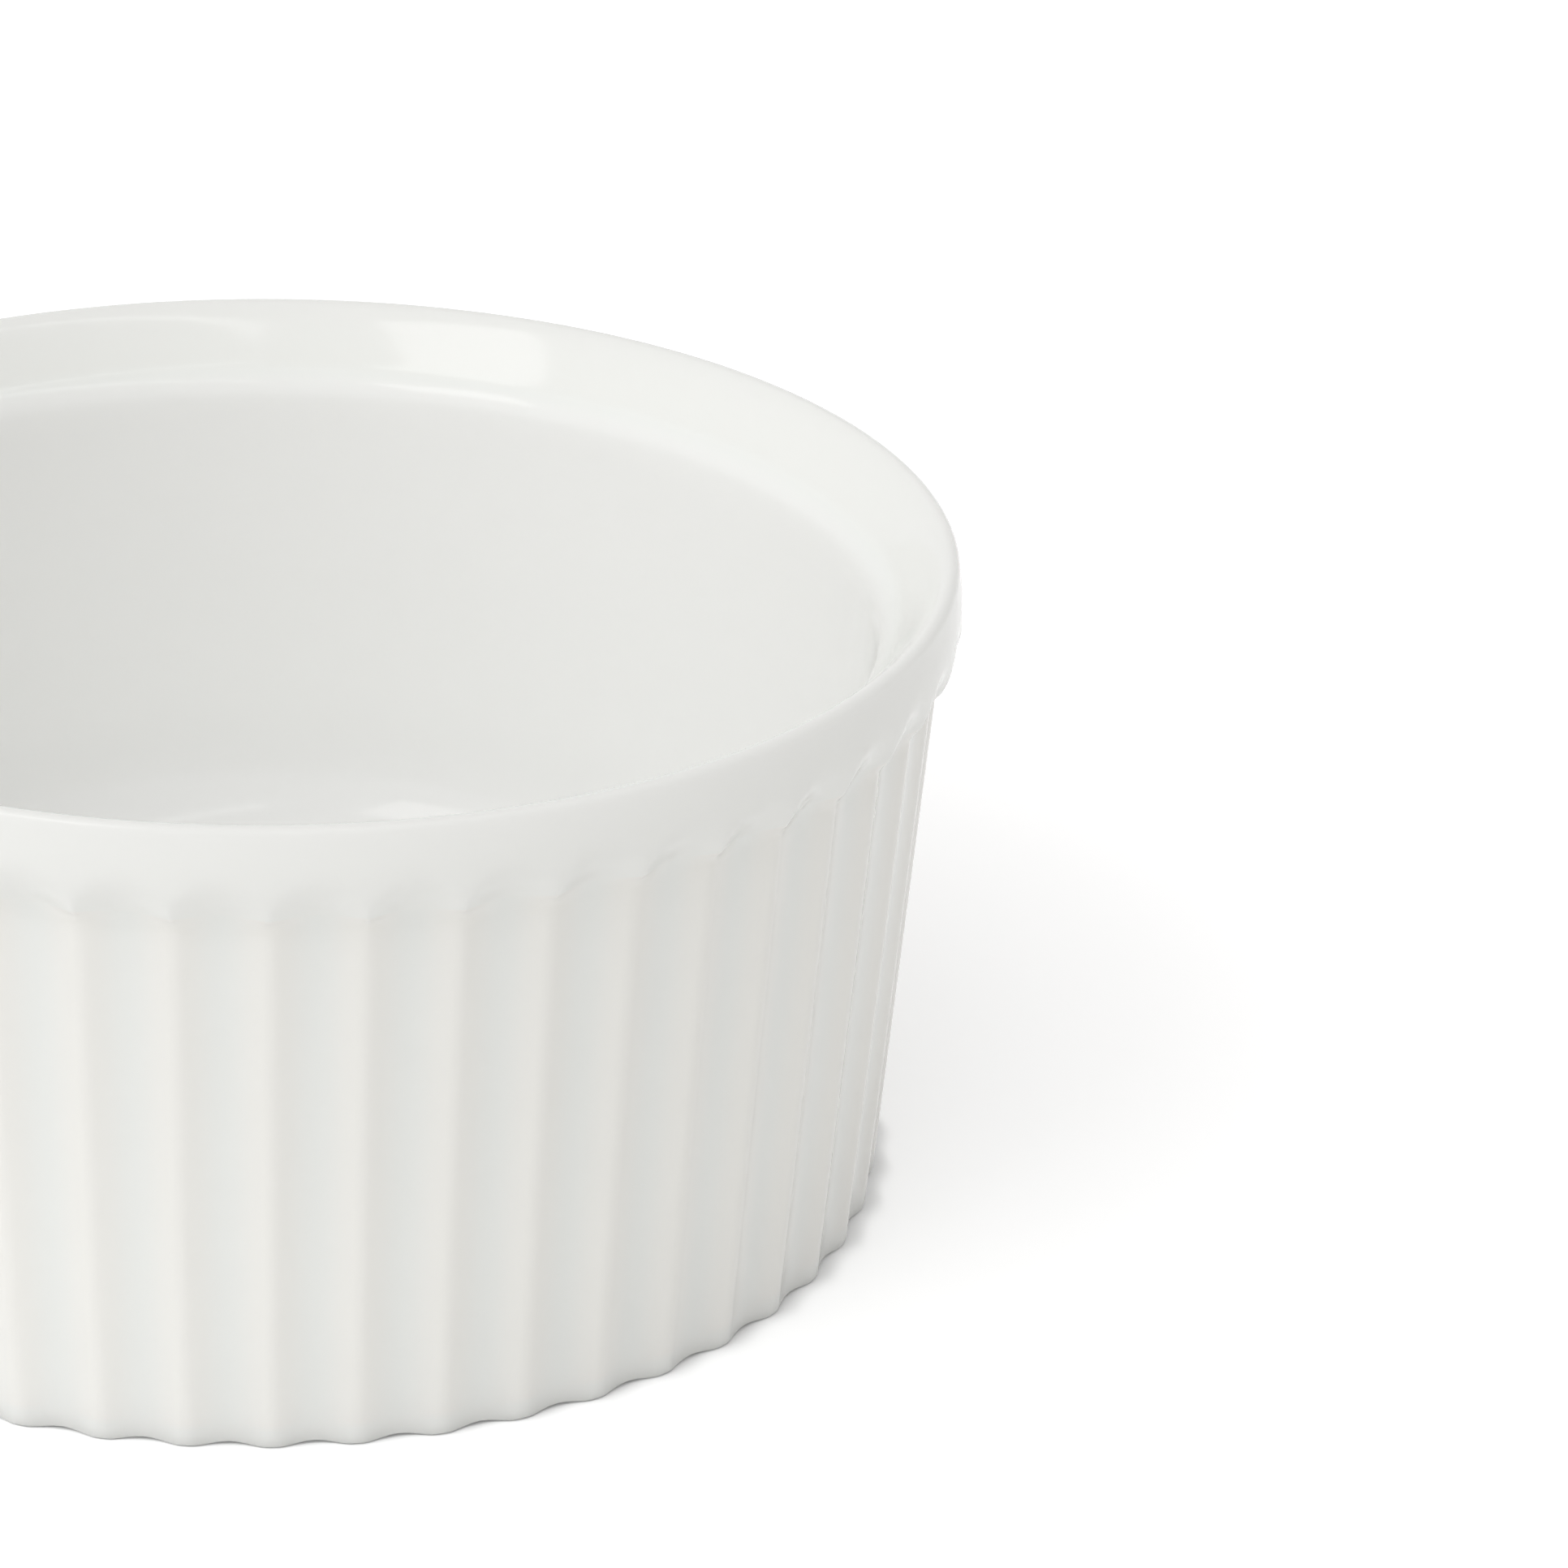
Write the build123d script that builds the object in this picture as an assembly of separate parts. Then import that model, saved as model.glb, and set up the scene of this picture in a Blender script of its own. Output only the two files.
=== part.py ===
from build123d import *
import os
from math import acos, atan2, cos, degrees, pi, radians, sin, tan

# Fluted ramekin: one porcelain body under a clear glaze. Millimetres, +Z up, origin at the bottom centre.

# Whole dish
rim_radius = 45.0
height = 44.0

# Rim band, the swollen collar round the top: insets run in from its widest radius, drops down from the crest
crest_inset = 0.9
crest_round = 0.6
crest_inner_runs = 1
crest_outer_runs = 2
widest_top_drop = 2.7
widest_land = 1.8
band_drop = 6.2
band_lower_inset = 0.65
band_under_drop = 1.4
band_under_step = 0.9

# Wall, measured over the ridges between the flutes, which the rim band overhangs
band_overhang = 0.66
wall_draft = 4.6

# Flutes, and the arches in which they run out under the rim band
flute_count = 48
flute_depth = 0.85
ridge_land = 0.63
arch_top_drop = 3.2
arch_widening = 0.3

# Inside of the bowl
bowl_edge_inset = 5.4
bowl_edge_drop = 5.1
bowl_edge_round = 3.0
bowl_edge_runs = 1
bowl_draft = 4.0
bowl_floor_round = 9.0
bowl_floor_runs = 3
floor_thickness = 3.6

# Underside
foot_ring_inset = 1.35
foot_ring_width = 2.8
foot_ring_height = 0.2
heel_chamfer = 0.5
recess_depth = 1.0
recess_step = 0.5
recess_draft = 30.0

# Glaze
glaze_thickness = 0.25

# How far a cutting form runs past what it cuts, and how far two fused forms lap
overrun = 3.0
lap = 0.8

# Places that follow from the sizes
half_pitch = pi / flute_count
band_level = height - band_drop
bowl_edge_level = height - bowl_edge_drop
recess_level = foot_ring_height + recess_depth
floor_level = recess_level + floor_thickness
crest_radius = rim_radius - crest_inset
band_lower_radius = rim_radius - band_lower_inset
bowl_edge_radius = rim_radius - bowl_edge_inset
wall_base_radius = band_lower_radius - band_overhang - band_level * tan(radians(wall_draft))
foot_ring_radius = wall_base_radius - foot_ring_inset
recess_radius = foot_ring_radius - foot_ring_width - recess_step


def ridge_radius(level):
    """Radius over the ridges at a height above the table."""
    return wall_base_radius + level * tan(radians(wall_draft))


def bowl_radius(level):
    """Radius of the drafted inner wall at a height above the table."""
    return bowl_edge_radius - (bowl_edge_level - level) * tan(radians(bowl_draft))


def arc_points(centre, radius, start, turn, runs):
    """Points along an arc, which is turned as a few short straight runs so that the dish has few facets."""
    angles = [start + turn * number / runs for number in range(runs + 1)]
    return [centre + Vector(radius * cos(angle), radius * sin(angle)) for angle in angles]


def rounded(before, corner, after, radius, runs):
    """Points of a corner of an outline, rounded to a radius."""
    back = (before - corner).normalized()
    ahead = (after - corner).normalized()
    half_opening = acos(back.dot(ahead)) / 2
    centre = corner + (back + ahead).normalized() * (radius / sin(half_opening))
    side = 1 if back.cross(ahead).Z < 0 else -1
    start = corner + back * (radius / tan(half_opening)) - centre
    return arc_points(centre, radius, atan2(start.Y, start.X), side * (pi - 2 * half_opening), runs)


def touch(centre, radius, point, side):
    """Angle at which a line from a point touches a circle, on the chosen side."""
    away = point - centre
    return atan2(away.Y, away.X) + side * acos(radius / away.length)


def turned(outline, skin=0.0):
    """Solid turned from an outline that crosses the axis, shrunk by the skin or grown if it is negative."""
    section = make_face(Polyline(*outline, close=True))
    if skin:
        section = offset(section, amount=-skin, kind=Kind.INTERSECTION)
    right_half = Pos(rim_radius, 0) * Rectangle(2 * rim_radius, 4 * height)
    return revolve(Plane.XZ * (section & right_half), Axis.Z)


def liner_outline():
    """Outline of everything that is turned: bowl floor, bowl wall, flared band, crest and rim band.

    Its hidden boundary runs inside the fluted wall and the base, where the two forms overlap and fuse.
    """
    floor_start = Vector(-overrun, floor_level)
    corner = Vector(bowl_radius(floor_level), floor_level)
    edge = Vector(bowl_edge_radius, bowl_edge_level)
    crest_centre = Vector(crest_radius, height - crest_round)
    widest_top = Vector(rim_radius, height - widest_top_drop)
    inner_touch = touch(crest_centre, crest_round, edge, -1) % (2 * pi)
    outer_touch = touch(crest_centre, crest_round, widest_top, 1)
    crest_inside = arc_points(crest_centre, crest_round, inner_touch, pi / 2 - inner_touch, crest_inner_runs)
    crest_outside = arc_points(crest_centre, crest_round, pi / 2, outer_touch - pi / 2, crest_outer_runs)
    under_level = band_level - band_under_drop
    hidden_level = recess_level + lap
    return [
        floor_start,
        *rounded(floor_start, corner, edge, bowl_floor_round, bowl_floor_runs),
        *rounded(corner, edge, crest_inside[0], bowl_edge_round, bowl_edge_runs),
        *crest_inside,
        *crest_outside[1:],
        widest_top,
        Vector(rim_radius, height - widest_top_drop - widest_land),
        Vector(band_lower_radius, band_level),
        Vector(ridge_radius(band_level) - band_under_step, under_level),
        Vector(ridge_radius(under_level) - flute_depth - lap, under_level),
        Vector(ridge_radius(hidden_level) - flute_depth - lap, hidden_level),
        Vector(-overrun, hidden_level),
    ]


def core_outline():
    """Outline of the space that the liner fills inside the fluted wall, smaller than the liner all round."""
    low = recess_level + 2 * lap
    return [
        Vector(-overrun, low),
        Vector(ridge_radius(low) - flute_depth - 2 * lap, low),
        Vector(ridge_radius(height) - flute_depth - 2 * lap, height),
        Vector(-overrun, height),
    ]


def wall_outline():
    """Outline of the wall before it is fluted, from its chamfered heel to just inside the rim band."""
    heel_level = foot_ring_height + heel_chamfer
    top = band_level + lap
    return [
        Vector(-overrun, foot_ring_height),
        Vector(ridge_radius(foot_ring_height) - heel_chamfer, foot_ring_height),
        Vector(ridge_radius(heel_level), heel_level),
        Vector(ridge_radius(top), top),
        Vector(-overrun, top),
    ]


def recess_outline():
    """Outline of the shallow hollow inside the foot ring, which widens downwards."""
    widening = (recess_level + overrun) * tan(radians(recess_draft))
    return [
        Vector(-overrun, -overrun),
        Vector(recess_radius + widening, -overrun),
        Vector(recess_radius, recess_level),
        Vector(-overrun, recess_level),
    ]


def flute_radius():
    """Radius of a flute that runs down its valley and leaves each ridge a land at the foot of the wall."""
    half_flute = half_pitch - ridge_land / (2 * wall_base_radius)
    across = wall_base_radius * sin(half_flute)
    along = wall_base_radius * cos(half_flute) - (wall_base_radius - flute_depth)
    return (across**2 + along**2) / (2 * along)


def around(valley_low, valley_high, radius, skin):
    """Round cutters, one over each flute, whose inner sides lie on a leaning valley line.

    They run past both ends of the line, but not as far as the hidden parts of what they cut.
    """
    low = Vector(valley_low[0], 0, valley_low[1])
    high = Vector(valley_high[0], 0, valley_high[1])
    lean = (high - low).normalized()
    outwards = Vector(lean.Z, 0, -lean.X)
    past = 2 * lap
    start = low - lean * past + outwards * radius
    length = (high - low).length + 2 * past
    cutter = Plane(origin=start, z_dir=lean) * extrude(Circle(radius + skin), length)
    return [Rot(0, 0, degrees((2 * number + 1) * half_pitch)) * cutter for number in range(flute_count)]


def dish(skin):
    """Whole dish without its bare foot ring, a skin's thickness inside the glazed surface."""
    valley_foot = (wall_base_radius - flute_depth, 0)
    valley_top = (ridge_radius(band_level) - flute_depth, band_level)
    arch_top = (rim_radius, height - arch_top_drop)
    wall = turned(wall_outline(), skin) - around(valley_foot, valley_top, flute_radius(), skin)
    wall = wall - turned(core_outline()) - turned(recess_outline(), -skin)
    liner = turned(liner_outline(), skin)
    liner = liner - around(valley_top, arch_top, flute_radius() + arch_widening, skin)
    return wall + liner


def foot_ring():
    """Bare ring that the dish stands on, reaching up through the glaze into the body."""
    inner = foot_ring_radius - foot_ring_width
    top = foot_ring_height + 2 * glaze_thickness
    middle = (inner + foot_ring_radius) / 2
    section = Pos(middle, top / 2) * Rectangle(foot_ring_width, top)
    return revolve(Plane.XZ * section, Axis.Z)


# The foot ring parts the glaze of the recess from the rest
porcelain_body = dish(glaze_thickness) + foot_ring()
recess_glaze, glaze_coat = (dish(0.0) - porcelain_body).solids().sort_by(SortBy.VOLUME)
parts = {"porcelain_body": porcelain_body, "glaze_coat": glaze_coat, "recess_glaze": recess_glaze}

os.makedirs("parts", exist_ok=True)
for name, shape in parts.items():
    export_step(shape, f"parts/{name}.step")
    print(name, "solids", len(shape.solids()), "volume", round(shape.volume), "valid", shape.is_valid)
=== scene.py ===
# %% [markdown]
# # A fluted porcelain ramekin
#
# This lesson dresses a small white baking dish. Its exact solids come from a CAD model, which is loaded as a
# frame that never moves. On top of it we build the glaze that the eye sees: forty-eight flutes with soft
# ridges, the arches in which they end under the rim, and a bowl with a flared lip. Everything is in metres
# in Blender, but a potter thinks in millimetres, so every size below is written in millimetres.

# %% Load the frame
import bpy
import numpy as np
from math import atan2, cos, pi, radians, sin, sqrt, tan
from mathutils import Matrix, Vector


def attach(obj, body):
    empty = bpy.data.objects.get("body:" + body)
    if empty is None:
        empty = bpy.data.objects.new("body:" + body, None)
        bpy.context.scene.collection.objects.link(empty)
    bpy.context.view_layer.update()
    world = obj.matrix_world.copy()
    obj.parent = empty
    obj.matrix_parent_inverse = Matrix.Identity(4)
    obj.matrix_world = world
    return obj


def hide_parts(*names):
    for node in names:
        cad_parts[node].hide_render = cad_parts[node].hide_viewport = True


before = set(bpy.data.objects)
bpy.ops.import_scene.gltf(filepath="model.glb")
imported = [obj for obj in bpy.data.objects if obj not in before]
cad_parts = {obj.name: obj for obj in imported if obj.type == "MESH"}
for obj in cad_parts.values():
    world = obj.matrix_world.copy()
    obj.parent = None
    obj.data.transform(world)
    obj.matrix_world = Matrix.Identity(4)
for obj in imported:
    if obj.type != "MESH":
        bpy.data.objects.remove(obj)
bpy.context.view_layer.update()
MM = 0.001
print("nodes", sorted(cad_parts))

# %% [markdown]
# ## The sizes of the dish
#
# On the real dish these sizes belong to the mould that the clay is pressed in. They could be scattered
# through the code as bare numbers, but then no one could change the dish. Here each size has one name, and
# every later step is worked out from these names. The lip is a list of points, each given by how far it lies
# inside the crest and below the rim; the last of them only guides the curve and isn't on it.

# %% Name the sizes
RIM_RADIUS = 44.99
HEIGHT = 43.99

CREST_RADIUS = 44.1
CREST_ROUND = 0.6
WIDEST_DROP = 3.6
BAND_DROP = 6.2
BAND_LOWER_RADIUS = 44.35
BAND_UNDER_DROP = 1.4
BAND_UNDER_STEP = 0.9

WALL_BASE_RADIUS = 40.65
WALL_DRAFT = 4.6
FLUTE_COUNT = 48
FLUTE_DEPTH = 0.55
RIDGE_ROUND = 1.5
ARCH_TOP_DROP = 1.8
ARCH_FOOT_DROP = 7.4
ARCH_PAST_RIM = 0.8
ARCH_RADIUS = 4.2
ARCH_SOFTNESS = 0.8
BAND_SOFTNESS = 0.5

BOWL_EDGE_RADIUS = 39.6
BOWL_EDGE_DROP = 5.1
LIP_INSETS_AND_DROPS = (
    (0.25, 0.07), (0.65, 0.36), (1.2, 0.98), (1.9, 1.93), (2.6, 2.93), (3.15, 3.74), (3.7, 4.28),
    (4.12, 4.78), (4.42, 5.42), (4.56, 6.3), (4.62, 7.2), (4.68, 8.1),
)
BOWL_DRAFT = 4.0
BOWL_FLOOR_ROUND = 9.3
BOWL_FLOOR_LEVEL = 4.8

HEEL_ROUND = 0.3
HEEL_LEVEL = 0.05
HEEL_SPREAD = 0.4
HEEL_SOFTNESS = 0.12
HEEL_EDGE_ROUND = 0.08
VALLEY_LIFT = 0.2
LIFT_FADE_START = 0.2
LIFT_FADE_END = 1.8
FOOT_RING_OUTSIDE = 39.3
FOOT_RING_INSIDE = 36.5
RECESS_RADIUS = 36.0
RECESS_LEVEL = 1.2
RECESS_ROUND = 0.5
RECESS_SLOPE_FOOT = 0.334

half_pitch = pi / FLUTE_COUNT
band_level = HEIGHT - BAND_DROP
bowl_edge_level = HEIGHT - BOWL_EDGE_DROP
print("flute pitch at the base", round(2 * half_pitch * WALL_BASE_RADIUS, 2), "mm")

# %% [markdown]
# ## Columns round the dish
#
# The surface will be a net of rings and columns. Evenly spaced columns would waste most of their number on
# the flat hollows and leave the ridges faceted. So each flute gets the same uneven set of columns, close
# together over the ridge and wider apart in the hollow.

# %% Lay out the columns
RIDGE_STEPS = np.array([0.0, 0.06, 0.12, 0.19, 0.28, 0.41, 0.58, 0.78])
one_side = RIDGE_STEPS * half_pitch
one_flute = np.concatenate([one_side, [half_pitch], 2 * half_pitch - one_side[:0:-1]])
column_angles = np.concatenate([one_flute + 2 * half_pitch * number for number in range(FLUTE_COUNT)])
columns = len(column_angles)
from_ridge = np.abs((column_angles + half_pitch) % (2 * half_pitch) - half_pitch)
from_valley = half_pitch - from_ridge
print("columns in a flute", len(one_flute), "and all round", columns)

# %% [markdown]
# ## The fluted wall
#
# A level cut through the real wall shows a row of hollow arcs joined by small round ridges. A sine wave
# would be simpler to write, but its ridges come out as fat as its hollows. Two circles that touch, a small
# one for the ridge and a large one for the hollow, keep the ridges narrow, and the radius at any angle is
# where a ray from the axis meets one of them.

# %% Radius of the fluted wall


def ridge_radius(level):
    return WALL_BASE_RADIUS + level * tan(radians(WALL_DRAFT))


def wall_radii(level):
    ridge = ridge_radius(level)
    valley = ridge - FLUTE_DEPTH
    ridge_centre = ridge - RIDGE_ROUND
    reach = ridge_centre * cos(half_pitch)
    gap = RIDGE_ROUND**2 - valley**2 - ridge_centre**2 + 2 * reach * valley
    hollow = gap / (2 * (valley - reach - RIDGE_ROUND))
    hollow_centre = valley + hollow
    share = RIDGE_ROUND / (RIDGE_ROUND + hollow)
    across = share * hollow_centre * sin(half_pitch)
    along = ridge_centre + share * (hollow_centre * cos(half_pitch) - ridge_centre)
    meet = atan2(across, along)
    near = np.minimum(from_ridge, meet)
    on_ridge = ridge_centre * np.cos(near) + np.sqrt(RIDGE_ROUND**2 - (ridge_centre * np.sin(near)) ** 2)
    far = np.minimum(from_valley, half_pitch - meet)
    in_hollow = hollow_centre * np.cos(far) - np.sqrt(hollow**2 - (hollow_centre * np.sin(far)) ** 2)
    return np.where(from_ridge < meet, on_ridge, in_hollow)


halfway = wall_radii(HEIGHT / 2)
print("wall radius at half height", round(halfway.min(), 2), "to", round(halfway.max(), 2), "mm")

# %% [markdown]
# ## Soft meetings
#
# Glaze never leaves a sharp inner or outer corner. A bevel modifier could round the corners afterwards, but
# it needs clean edges to follow. Blending the two radii before the mesh is made does the same thing without
# any edge: where two surfaces come within a small distance of each other, the blend cuts the corner.

# %% Blend two surfaces


def softly_lower(first, second, softness):
    overlap = np.maximum(softness - np.abs(first - second), 0) / softness
    return np.minimum(first, second) - overlap**2 * softness / 4


def softly_upper(first, second, softness):
    return -softly_lower(-first, -second, softness)


# %% [markdown]
# ## The rim band and its arches
#
# The rim is a swollen collar, and each flute runs out under it in a small arch, as if a round cutter came up
# the flute's valley and then swung outwards, past the rim. A Boolean modifier could cut the same arches, but
# forty-eight Booleans leave poor shading. Here the band, the arch and the wall are three radii at the same
# angle and height: the arch trims the band, and whatever stands further out than the wall shows.

# %% Radius of the rim band and of its arches
REACH = RIM_RADIUS - CREST_RADIUS
CREST_LEVEL = HEIGHT - CREST_ROUND
WIDEST_LEVEL = HEIGHT - WIDEST_DROP
swell_radius = (REACH**2 + (CREST_LEVEL - WIDEST_LEVEL) ** 2 - CREST_ROUND**2) / (2 * (REACH - CREST_ROUND))
lower_sag = RIM_RADIUS - BAND_LOWER_RADIUS
lower_radius = (lower_sag**2 + (WIDEST_LEVEL - band_level) ** 2) / (2 * lower_sag)
arch_foot = HEIGHT - ARCH_FOOT_DROP
arch_top = HEIGHT - ARCH_TOP_DROP


def band_radius(level):
    away = level - WIDEST_LEVEL
    if away >= 0:
        return RIM_RADIUS - swell_radius + sqrt(swell_radius**2 - away**2)
    if level >= band_level:
        return RIM_RADIUS - lower_radius + sqrt(lower_radius**2 - away**2)
    fall = (BAND_LOWER_RADIUS - ridge_radius(band_level) + BAND_UNDER_STEP) / BAND_UNDER_DROP
    return BAND_LOWER_RADIUS - fall * (band_level - level)


def ease(start, end, value):
    share = min(max((value - start) / (end - start), 0), 1)
    return share**2 * (3 - 2 * share)


ARCH_ROUNDS_OF_SOLVING = 12
STEEPEST_SIDE = 0.999


def arch_radii(level):
    valley = ridge_radius(level) - FLUTE_DEPTH
    start = valley + (RIM_RADIUS + ARCH_PAST_RIM - valley) * ease(arch_foot, arch_top, level)
    radii = np.full(columns, start)
    for _ in range(ARCH_ROUNDS_OF_SOLVING):
        across = np.minimum(radii * np.sin(from_valley) / ARCH_RADIUS, STEEPEST_SIDE)
        radii = (start + ARCH_RADIUS * (1 - np.sqrt(1 - across**2))) / np.cos(from_valley)
    return radii


def outside_radii(level):
    wall = wall_radii(level)
    if level < band_level - BAND_UNDER_DROP:
        return wall
    band = softly_lower(np.full(columns, band_radius(level)), arch_radii(level), ARCH_SOFTNESS)
    return softly_upper(wall, band, BAND_SOFTNESS)


middle = (arch_foot + arch_top) / 2
print("at", round(middle, 1), "mm an arch reaches", round(arch_radii(middle).min(), 2), "mm from the axis")

# %% [markdown]
# ## Rounded profile corners
#
# The bowl, the lip and the underside are turned, so they need only a profile. An arc between two straight
# runs is found the way a draughtsman does it: step back from the corner along both lines to where the
# circle touches them, then swing round its centre.

# %% Helpers for a turned profile


def swing(centre, radius, start, end, steps):
    return [
        (centre[0] + radius * cos(start + (end - start) * step / steps),
         centre[1] + radius * sin(start + (end - start) * step / steps))
        for step in range(steps + 1)
    ]


def rounded(before, corner, after, radius, steps):
    before, corner, after = Vector(before), Vector(corner), Vector(after)
    back = (before - corner).normalized()
    ahead = (after - corner).normalized()
    half_opening = back.angle(ahead) / 2
    centre = corner + (back + ahead).normalized() * (radius / sin(half_opening))
    first = corner + back * (radius / tan(half_opening)) - centre
    last = corner + ahead * (radius / tan(half_opening)) - centre
    start = atan2(first.y, first.x)
    turn = (atan2(last.y, last.x) - start + pi) % (2 * pi) - pi
    return swing(centre, radius, start, start + turn, steps)


def smooth_through(points, steps):
    curve = []
    for before, start, end, after in zip([points[0], *points], points, points[1:], points[2:]):
        for step in range(1, steps + 1):
            t = step / steps
            curve.append(tuple(
                b + 0.5 * ((c - a) * t + (2 * a - 5 * b + 4 * c - d) * t**2 + (3 * b - a - 3 * c + d) * t**3)
                for a, b, c, d in zip(before, start, end, after)
            ))
    return curve


def straight(start, end, steps):
    return [
        (start[0] + (end[0] - start[0]) * step / steps, start[1] + (end[1] - start[1]) * step / steps)
        for step in range(1, steps)
    ]


# %% [markdown]
# ## From the recess to the bowl in one list of rings
#
# The surface is laid out as rings, from the middle of the underside, out past the foot ring, up the flutes,
# over the crest and down to the middle of the bowl. Rings are close together where the surface turns and
# far apart where it runs straight. A ring is a radius for every column, and one height. The glaze stops in
# a small edge on either side of the bare foot ring, tucked into the ring so that no gap shows.

# %% Rings of the underside
rings = []


def add_turned(points):
    for radius, level in points:
        rings.append((np.full(columns, radius), level))


RECESS_RINGS = (8, 18, 28)
GLAZE_EDGE_INSIDE = ((36.4, 0.44), (36.45, 0.42), (36.47, 0.5), (36.47, 0.6))
GLAZE_EDGE_OUTSIDE = ((39.33, 0.6), (39.33, 0.4), (39.37, 0.28), (39.45, 0.16), (39.55, HEEL_LEVEL))
recess_corner = rounded((RECESS_RINGS[-1], RECESS_LEVEL), (RECESS_RADIUS, RECESS_LEVEL),
                        (FOOT_RING_INSIDE, RECESS_SLOPE_FOOT), RECESS_ROUND, steps=5)
add_turned([(radius, RECESS_LEVEL) for radius in RECESS_RINGS])
add_turned(recess_corner)
add_turned(GLAZE_EDGE_INSIDE)
add_turned(GLAZE_EDGE_OUTSIDE)
print("rings under the dish", len(rings))

# %% [markdown]
# ## The heel and the wall
#
# The potter sponges the bottom edge of the wall, so it ends in a small round just above the foot ring. A
# bevel would give the same round all the way, but on the real dish the hollows are also lifted a little and
# the ridges almost touch the table, which makes the scalloped line at the foot. So the heel's rings aren't
# level: each column has its own height there, and the rings are level again a little higher up.

# %% Rings of the heel and the wall
heel_start = ridge_radius(HEEL_LEVEL) - HEEL_ROUND


def heel_radius(level):
    up = min((level - HEEL_LEVEL) / HEEL_ROUND, 1)
    above = max(level - HEEL_LEVEL - HEEL_ROUND, 0)
    return heel_start + HEEL_ROUND * sqrt(1 - (1 - up) ** 2) + HEEL_SPREAD * above


def foot_radii(level):
    return softly_lower(wall_radii(level), np.full(columns, heel_radius(level)), HEEL_SOFTNESS)


HEEL_RINGS = (0.25, 0.4, 0.55, 0.7, 0.9, 1.2, 1.8)
WALL_START, WALL_END, WALL_RINGS = 2.6, 35.4, 6
JUST_ABOVE = 0.001
lift = VALLEY_LIFT * (0.5 + 0.5 * np.cos(pi * from_valley / half_pitch)) ** 1.5
for turn in (0, 30, 60, 90):
    inset = HEEL_EDGE_ROUND * (1 - sin(radians(turn)))
    level = HEEL_LEVEL + HEEL_EDGE_ROUND * (1 - cos(radians(turn)))
    rings.append((foot_radii(level + JUST_ABOVE) - inset, level + lift))
for level in HEEL_RINGS:
    rings.append((foot_radii(level), level + lift * (1 - ease(LIFT_FADE_START, LIFT_FADE_END, level))))
for level in np.linspace(WALL_START, WALL_END, WALL_RINGS):
    rings.append((wall_radii(level), float(level)))
print("rings up to the band", len(rings))

# %% [markdown]
# ## The band, the crest and the bowl
#
# The lip of the real dish is a narrow crest with a flared band inside it, which bends over once more into the
# steep wall of the bowl. One bevelled corner would look machined. The flare here is a smooth curve through a
# few measured points, so light runs over it without a break, and the bowl's floor meets its wall in an arc.

# %% Rings of the band, the crest and the bowl
ARCHES_START, ARCHES_OPEN, PLAIN_BAND = 35.9, 38.9, 43.0
FINE_STEP, COARSE_STEP = 0.17, 0.3
FLOOR_RINGS = (21, 14, 7)
fine_levels = np.arange(ARCHES_START, ARCHES_OPEN, FINE_STEP)
coarse_levels = np.arange(ARCHES_OPEN, PLAIN_BAND, COARSE_STEP)
for level in np.concatenate([fine_levels, coarse_levels]):
    rings.append((outside_radii(level), float(level)))
crest_angle = atan2(CREST_LEVEL - WIDEST_LEVEL, CREST_RADIUS - RIM_RADIUS + swell_radius)
crest_start = CREST_LEVEL + CREST_ROUND * sin(crest_angle)
for level in np.linspace(PLAIN_BAND, crest_start, 5)[:-1]:
    rings.append((np.full(columns, band_radius(level)), float(level)))

crest = swing((CREST_RADIUS, CREST_LEVEL), CREST_ROUND, crest_angle, pi / 2, steps=7)
lip = [(CREST_RADIUS - inset, HEIGHT - drop) for inset, drop in LIP_INSETS_AND_DROPS]
corner_radius = BOWL_EDGE_RADIUS - (bowl_edge_level - BOWL_FLOOR_LEVEL) * tan(radians(BOWL_DRAFT))
floor_arc = rounded((BOWL_EDGE_RADIUS, bowl_edge_level), (corner_radius, BOWL_FLOOR_LEVEL),
                    (0, BOWL_FLOOR_LEVEL), BOWL_FLOOR_ROUND, steps=9)
flare = smooth_through([crest[-1], *lip], steps=3)
add_turned(crest)
bowl_start = len(rings)
add_turned(flare)
add_turned(straight(flare[-1], floor_arc[0], steps=4))
add_turned(floor_arc)
add_turned([(radius, BOWL_FLOOR_LEVEL) for radius in FLOOR_RINGS])
print("rings in all", len(rings))

# %% [markdown]
# ## Weave the mesh
#
# Now the rings become vertices and the gaps between them become quads, with a fan of triangles at the two
# middles. Spin or Screw modifiers could turn a profile, but they can't change it from column to column, so
# the faces are written directly. Numpy lays out all the corners at once, which keeps it fast.

# %% Make the glazed dish


def add_object(name, data):
    piece = bpy.data.objects.new(name, data)
    bpy.context.scene.collection.objects.link(piece)
    return piece


def ring_mesh(name, rings, angles, bottom, top):
    count = len(angles)
    points = [np.stack([radii * np.cos(angles), radii * np.sin(angles), np.full(count, level)], 1)
              for radii, level in rings]
    points = np.vstack([*points, [[0, 0, bottom]], [[0, 0, top]]]) * MM
    here = np.arange(count)
    beside = (here + 1) % count
    faces = []
    for ring in range(len(rings) - 1):
        low, high = ring * count, (ring + 1) * count
        faces.extend(np.stack([here + low, beside + low, beside + high, here + high], 1).tolist())
    last = (len(rings) - 1) * count
    under, over = len(rings) * count, len(rings) * count + 1
    faces.extend([[under, b, a] for a, b in zip(here.tolist(), beside.tolist())])
    faces.extend([[over, last + a, last + b] for a, b in zip(here.tolist(), beside.tolist())])
    mesh = bpy.data.meshes.new(name)
    mesh.from_pydata(points.tolist(), [], faces)
    mesh.shade_smooth()
    return add_object(name, mesh)


glazed_dish = ring_mesh("glazed_dish", rings, column_angles, RECESS_LEVEL, BOWL_FLOOR_LEVEL)
print("glazed dish", len(glazed_dish.data.vertices), "vertices", len(glazed_dish.data.polygons), "faces")

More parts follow.
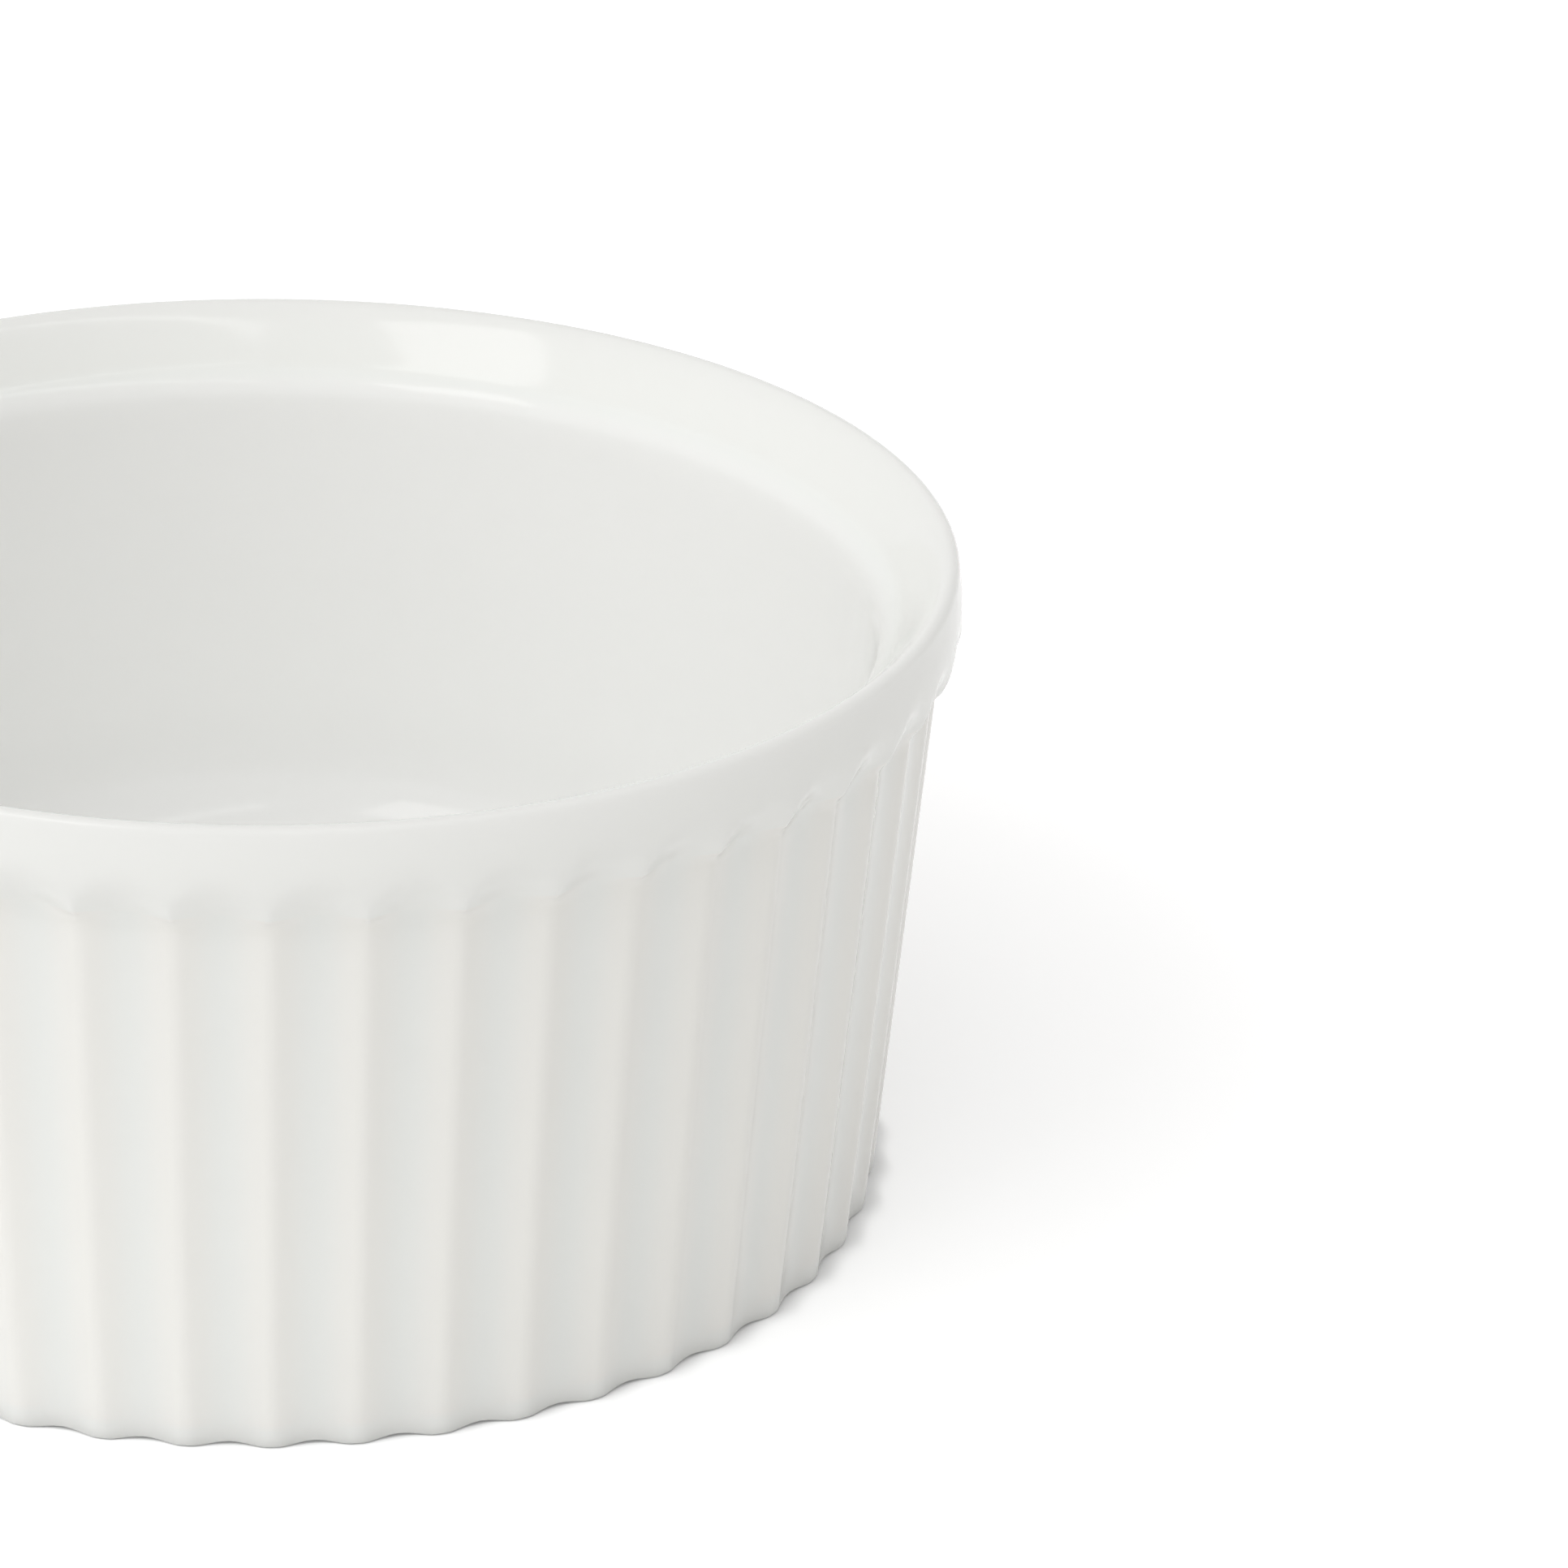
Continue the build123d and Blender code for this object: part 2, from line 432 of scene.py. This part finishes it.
# %% [markdown]
# ## Colours and nodes
#
# Colours are easiest to pick as hex values from a screen, but shaders work in linear light, so one function
# turns them. Node trees are wordy in code, so a second small function adds a node, sets its values and
# makes its links in one line.

# %% Helpers for materials


def linear(hex_colour):
    channels = [int(hex_colour[place : place + 2], 16) / 255 for place in (1, 3, 5)]
    return [c / 12.92 if c <= 0.04045 else ((c + 0.055) / 1.055) ** 2.4 for c in channels] + [1.0]


def add_node(tree, kind, settings=None, inputs=None, links=None):
    node = tree.nodes.new(kind)
    for setting, value in (settings or {}).items():
        setattr(node, setting, value)
    for socket, value in (inputs or {}).items():
        node.inputs[socket].default_value = value
    for socket, source in (links or {}).items():
        tree.links.new(source, node.inputs[socket])
    return node


def new_material(name):
    material = bpy.data.materials.new(name)
    material.use_nodes = True
    material.node_tree.nodes.clear()
    return material, material.node_tree


# %% [markdown]
# ## Where the glaze is thin
#
# Molten glaze runs off the ridges and pools in the hollows. On the ridges the warm white of the clay shows
# through, and the pooled glaze looks a touch cooler and greener. The bowl, which is filled with glaze and
# poured out again, has the thickest glaze, and it is painted whiter still: painted light that lifts the shade
# inside the bowl. Blender's Pointiness could find the ridges, but it depends on how fine the mesh is. We know
# where each column and ring stands, so we store how thick the glaze is, with the bowl's painted light, on every
# vertex, and the material reads it by name.

# %% Store how thick the glaze is, and the bowl's painted light, on the mesh
# The last share belongs to the bowl: painted light, which makes the inside of the bowl whiter.
THIN_RIDGE, FULL_HOLLOW, EVEN_COAT, POURED_BOWL_PAINTED_LIGHT = 0.0, 0.5, 0.4, 1.0
POUR_LINE_WIDTH = 4
FLUTES_START_RADIUS = 40.2
in_flute = THIN_RIDGE + (FULL_HOLLOW - THIN_RIDGE) * (0.5 - 0.5 * np.cos(pi * from_ridge / half_pitch))


def glaze_and_bowl_light_shares(number, radii, level):
    # Below the bowl's edge the share rises to the whitest colour: painted light that lifts the shade inside the
    # bowl.
    if number >= bowl_start:
        below_edge = ease(-POUR_LINE_WIDTH / 2, POUR_LINE_WIDTH / 2, bowl_edge_level - level)
        return np.full(columns, EVEN_COAT + (POURED_BOWL_PAINTED_LIGHT - EVEN_COAT) * below_edge)
    if np.max(level) < band_level and np.min(radii) > FLUTES_START_RADIUS:
        return in_flute
    return np.full(columns, EVEN_COAT)


shares = [glaze_and_bowl_light_shares(number, radii, level) for number, (radii, level) in enumerate(rings)]
thickness_and_bowl_light = glazed_dish.data.attributes.new("glaze_thickness_and_bowl_light", "FLOAT", "POINT")
shares.append([EVEN_COAT, POURED_BOWL_PAINTED_LIGHT])
thickness_and_bowl_light.data.foreach_set("value", np.concatenate(shares).astype(np.float32))
print("vertices with a glaze thickness", len(thickness_and_bowl_light.data))

# %% [markdown]
# ## Fired clear glaze on white porcelain
#
# A clear feldspar glaze is a thin glass melted onto the clay at about 1250 degrees. One Principled shader is
# enough for both layers: its subsurface part is the porcelain, which light enters and leaves a few
# millimetres away, and its sharp reflection is the glass. Without the subsurface part the flutes would look
# like plaster, because shade would be hard in every hollow. All three colours scatter equally far, since a
# longer way for red left a faint coloured mottling. The glass has an index of 1.52 and isn't quite flat: firing
# leaves a very shallow ripple a few millimetres wide, like the skin of an orange.

# %% Glaze material
RIPPLE_WIDTH = 3.846
RIPPLE_DEPTH = 0.1
SCATTER_DEPTH = 3.0
glaze, tree = new_material("clear_glaze_on_white_porcelain")
place = add_node(tree, "ShaderNodeTexCoord")
ripple = add_node(tree, "ShaderNodeTexNoise",
                  inputs={"Scale": 1 / (RIPPLE_WIDTH * MM), "Detail": 1.0, "Roughness": 0.4},
                  links={"Vector": place.outputs["Object"]})
peel = add_node(tree, "ShaderNodeBump", inputs={"Strength": 0.05, "Distance": RIPPLE_DEPTH * MM},
                links={"Height": ripple.outputs["Fac"]})
coat_and_bowl_light = add_node(tree, "ShaderNodeAttribute", {"attribute_name": "glaze_thickness_and_bowl_light"})
tint = add_node(tree, "ShaderNodeValToRGB", links={"Fac": coat_and_bowl_light.outputs["Fac"]})
stops = tint.color_ramp.elements
stops[0].color = linear("#F7F6F2")
# The whitest colour is the bowl's: painted light that lifts the shade inside it.
stops[1].color = linear("#FAFBF9")
stops.new(0.5).color = linear("#F4F7F4")
surface = add_node(tree, "ShaderNodeBsdfPrincipled",
                   inputs={"Roughness": 0.1, "IOR": 1.52, "Subsurface Weight": 0.6,
                           "Subsurface Radius": (1.0, 1.0, 1.0), "Subsurface Scale": SCATTER_DEPTH * MM},
                   links={"Base Color": tint.outputs["Color"], "Normal": peel.outputs["Normal"]})
add_node(tree, "ShaderNodeOutputMaterial", links={"Surface": surface.outputs["BSDF"]})
glazed_dish.data.materials.append(glaze)

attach(glazed_dish, "root")
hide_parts("glaze_coat", "recess_glaze")
print("ripples about", round(RIPPLE_WIDTH, 1), "mm wide")

# %% [markdown]
# ## Bare porcelain
#
# The foot ring is wiped clean before firing, or the glaze would weld the dish to the kiln shelf. Bare fired
# porcelain is matt, a little creamier than the glazed wall, and feels like very fine sandpaper. Its real
# grains are far too fine to show, so they are drawn coarser, 0.4 mm apart. The CAD body shows there, so it
# stays as it is and only gets this material.

# %% Bare porcelain of the foot ring
GRAIN_SPACING = 0.4
GRAIN_HEIGHT = 0.05
bare, tree = new_material("bare_fired_porcelain")
place = add_node(tree, "ShaderNodeTexCoord")
grit = add_node(tree, "ShaderNodeTexNoise", inputs={"Scale": 1 / (GRAIN_SPACING * MM), "Detail": 2.0},
                links={"Vector": place.outputs["Object"]})
clay = add_node(tree, "ShaderNodeMix", {"data_type": "RGBA"},
                {6: linear("#E4DFD3"), 7: linear("#EEEAE1")}, {"Factor": grit.outputs["Fac"]})
sanded = add_node(tree, "ShaderNodeBump", inputs={"Strength": 0.4, "Distance": GRAIN_HEIGHT * MM},
                  links={"Height": grit.outputs["Fac"]})
surface = add_node(tree, "ShaderNodeBsdfPrincipled", inputs={"Roughness": 0.75, "IOR": 1.5},
                   links={"Base Color": clay.outputs[2], "Normal": sanded.outputs["Normal"]})
add_node(tree, "ShaderNodeOutputMaterial", links={"Surface": surface.outputs["BSDF"]})
body_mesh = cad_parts["porcelain_body"].data
body_mesh.materials.clear()
body_mesh.materials.append(bare)
print("grains about", GRAIN_SPACING, "mm apart")

# %% [markdown]
# ## A sheet of white paper
#
# The dish stands on white paper that runs on behind it. In the photograph the paper is so bright that only
# the soft shadow shows. More light would bleach the dish as well, so the paper glows a little instead, but
# only for the eye and for reflections: light that bounces off it onto the dish sees plain white paper. The
# glow is held back close to the dish, on the side away from the window, as a painted shadow, or no shadow
# would be left there.

# %% Floor


def seen_directly(tree):
    path = add_node(tree, "ShaderNodeLightPath")
    either = add_node(tree, "ShaderNodeMath", {"operation": "MAXIMUM"},
                      links={0: path.outputs["Is Camera Ray"], 1: path.outputs["Is Glossy Ray"]})
    return either.outputs[0]


FLOOR_REACH = 3
PAPER_GLOW = 0.31
SHADE_REACH = 2.0
SHADE_FULL, SHADE_NONE = 0.5, 0.8
floor_mesh = bpy.data.meshes.new("studio_floor")
floor_mesh.from_pydata([(-FLOOR_REACH, -FLOOR_REACH, 0), (FLOOR_REACH, -FLOOR_REACH, 0),
                        (FLOOR_REACH, FLOOR_REACH, 0), (-FLOOR_REACH, FLOOR_REACH, 0)], [], [(0, 1, 2, 3)])
floor = add_object("studio_floor", floor_mesh)
paper, tree = new_material("white_paper_sweep")
plain = add_node(tree, "ShaderNodeBsdfDiffuse", inputs={"Color": linear("#F4F4F4")})
bleached = add_node(tree, "ShaderNodeBsdfDiffuse", inputs={"Color": (0.98, 0.985, 1, 1)})
to_window = add_node(tree, "ShaderNodeCombineXYZ", inputs={"X": -0.75, "Y": -0.43, "Z": 0.5})
# Painted shadow: the glow fades out close to the dish, on the side away from the window.
near = add_node(tree, "ShaderNodeAmbientOcclusion", {"samples": 8}, {"Distance": SHADE_REACH * MM},
                {"Normal": to_window.outputs["Vector"]})
glow_less_painted_shadow = add_node(tree, "ShaderNodeMapRange",
                     inputs={"From Min": SHADE_FULL, "From Max": SHADE_NONE,
                             "To Min": 0.0, "To Max": PAPER_GLOW},
                     links={"Value": near.outputs["AO"]})
glow = add_node(tree, "ShaderNodeEmission", links={"Strength": glow_less_painted_shadow.outputs["Result"]})
lit = add_node(tree, "ShaderNodeAddShader", links={0: bleached.outputs[0], 1: glow.outputs[0]})
mixed = add_node(tree, "ShaderNodeMixShader",
                 links={0: seen_directly(tree), 1: plain.outputs[0], 2: lit.outputs[0]})
add_node(tree, "ShaderNodeOutputMaterial", links={"Surface": mixed.outputs[0]})
floor_mesh.materials.append(paper)
print("floor", 2 * FLOOR_REACH, "m square")

# %% [markdown]
# ## The room
#
# Tall windows on the left and in front, a pale ceiling and warm walls light the dish from wide areas, which
# is why its shades are so soft. Area lamps of that size would all show as hard-edged patches in the glaze.
# Here each of them is a soft glow in the world: full strength in one direction, and fading away from it. Its
# four numbers are its azimuth, its elevation, how narrow it is, and its strength. The camera and the glaze
# see a plain white backdrop instead of this room.

# %% World


def towards(azimuth, elevation):
    a, e = radians(azimuth), radians(elevation)
    return Vector((sin(a) * cos(e), -cos(a) * cos(e), sin(e)))


ROOM_STRENGTH = 0.365
LEFT_WINDOW = (-63, 38, 3.0, 0.84)
FRONT_WINDOW = (-15, 32, 3.0, 0.34)
CEILING = (0, 90, 2.0, 0.21)
world = bpy.data.worlds.new("studio_room")
bpy.context.scene.world = world
world.use_nodes = True
tree = world.node_tree
tree.nodes.clear()
sky = add_node(tree, "ShaderNodeTexCoord")
room = add_node(tree, "ShaderNodeBackground", inputs={"Color": linear("#FFFCF8"), "Strength": ROOM_STRENGTH})
for azimuth, elevation, narrowness, strength in (LEFT_WINDOW, FRONT_WINDOW, CEILING):
    facing = add_node(tree, "ShaderNodeVectorMath", {"operation": "DOT_PRODUCT"},
                      {1: towards(azimuth, elevation)}, {0: sky.outputs["Generated"]})
    front = add_node(tree, "ShaderNodeMath", {"operation": "MAXIMUM"},
                     {1: 0.0}, {0: facing.outputs["Value"]})
    soft = add_node(tree, "ShaderNodeMath", {"operation": "POWER"},
                    {1: narrowness}, {0: front.outputs[0]})
    brightness = add_node(tree, "ShaderNodeMath", {"operation": "MULTIPLY"},
                          {1: strength}, {0: soft.outputs[0]})
    window = add_node(tree, "ShaderNodeBackground", inputs={"Color": (1, 1, 1, 1)},
                      links={"Strength": brightness.outputs[0]})
    room = add_node(tree, "ShaderNodeAddShader", links={0: room.outputs[0], 1: window.outputs[0]})
backdrop = add_node(tree, "ShaderNodeBackground", inputs={"Color": (1, 1, 1, 1), "Strength": 1.0})
mixed = add_node(tree, "ShaderNodeMixShader",
                 links={0: seen_directly(tree), 1: room.outputs[0], 2: backdrop.outputs[0]})
add_node(tree, "ShaderNodeOutputWorld", links={"Surface": mixed.outputs[0]})
print("world nodes", len(tree.nodes))

# %% [markdown]
# ## Two lamps that show in the glaze
#
# Glaze is judged by what it reflects. The photograph shows one small bright patch on the flared band and a
# thin line along the lip, so two area lamps stand where a mirror at those places would look: a softbox,
# nearly square, at the front left and a long narrow one at the right. Both are weak, because the room gives
# most of the light.

# %% Lamps


def softbox(name, azimuth, elevation, distance, width, depth, watts):
    lamp = bpy.data.lights.new(name, "AREA")
    lamp.shape = "RECTANGLE"
    lamp.size = width
    lamp.size_y = depth
    lamp.energy = watts
    holder = add_object(name, lamp)
    target = Vector((0, 0, HEIGHT / 2 * MM))
    holder.location = target + distance * towards(azimuth, elevation)
    holder.rotation_euler = (holder.location - target).to_track_quat("Z", "Y").to_euler()
    print(name, watts, "W")


softbox("key_softbox", azimuth=-46, elevation=50, distance=1.6, width=0.62, depth=0.5, watts=1.5)
softbox("right_strip", azimuth=48, elevation=62, distance=1.6, width=1.6, depth=0.12, watts=0.8)

# %% [markdown]
# ## The camera
#
# The photographer stood a little above the rim, close enough for the dish to taper in perspective, and
# pointed the camera right of the dish, so that its left side is cut off. A lens shift could cut it off too,
# but here the camera really turns: first it looks at the dish, then it is turned by three small angles that
# were found by matching the rim, the lip and the foot with the photograph.

# %% Camera
CAMERA_RISE = 25.515
CAMERA_DISTANCE = 409.724
LENS_PIXELS = 7605.54
PICTURE_PIXELS = 1932
LOOK_AT_LEVEL = 19.8
TURNED_RIGHT, TURNED_UP, ROLLED = -4.770, 0.814, -0.326
camera_data = bpy.data.cameras.new("camera")
camera_data.sensor_width = 36.0
camera_data.lens = LENS_PIXELS / PICTURE_PIXELS * camera_data.sensor_width
camera_data.clip_start = 0.01
camera_data.clip_end = 20.0
camera = add_object("camera", camera_data)
rise = radians(CAMERA_RISE)
back = Vector((0, -cos(rise), sin(rise)))
right = Vector((1, 0, 0))
level_view = Matrix((right, back.cross(right), back)).transposed().to_4x4()
aim = Matrix.Identity(4)
for turn, axis in ((TURNED_RIGHT, "Y"), (TURNED_UP, "X"), (ROLLED, "Z")):
    aim = aim @ Matrix.Rotation(radians(turn), 4, axis)
stand = (Vector((0, 0, LOOK_AT_LEVEL)) + back * CAMERA_DISTANCE) * MM
camera.matrix_world = Matrix.Translation(stand) @ level_view @ aim
bpy.context.scene.camera = camera
bpy.context.scene.view_settings.view_transform = "Standard"
print("lens", round(camera_data.lens, 1), "mm")
